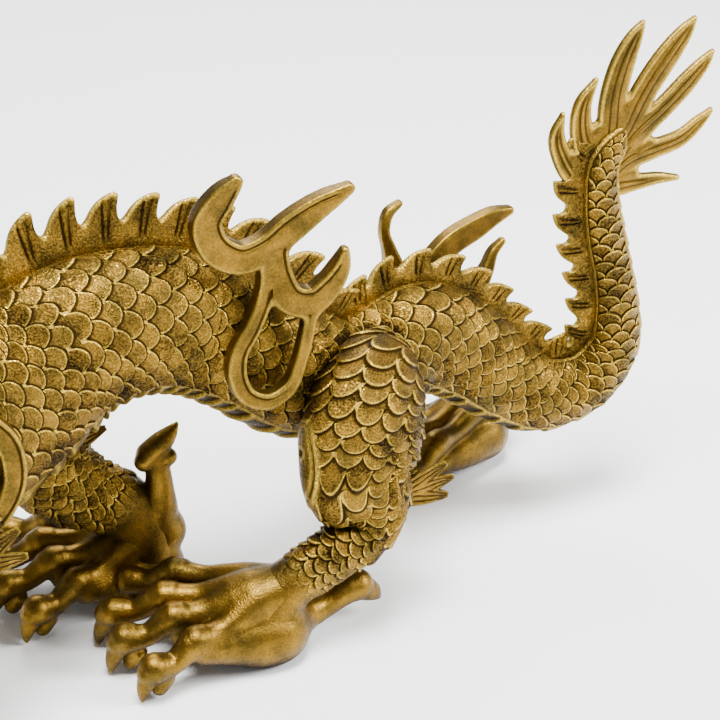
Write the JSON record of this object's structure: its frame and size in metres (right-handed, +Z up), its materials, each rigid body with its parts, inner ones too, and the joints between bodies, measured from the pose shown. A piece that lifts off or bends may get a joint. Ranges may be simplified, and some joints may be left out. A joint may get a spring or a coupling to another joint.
{
  "type": "dragon sculpture",
  "caption": "Cast brass dragon walking on clawed feet, with an arched scaled body, a toothed crest along the back and an upright curled tail that ends in a fan of fins.",
  "frame": {"origin": "centre of the bounding box's bottom, on the ground between the feet", "axes": "+X from the head towards the tail, -Y to the dragon's left side, +Z up"},
  "size_m": [0.4042, 0.1886, 0.2223],
  "materials": {
    "cast_brass": "sand-cast brass with a brown patina in the hollows and rubbed bright edges"
  },
  "bodies": {
    "root": {"dragon": "cast_brass"}
  },
  "joints": []
}
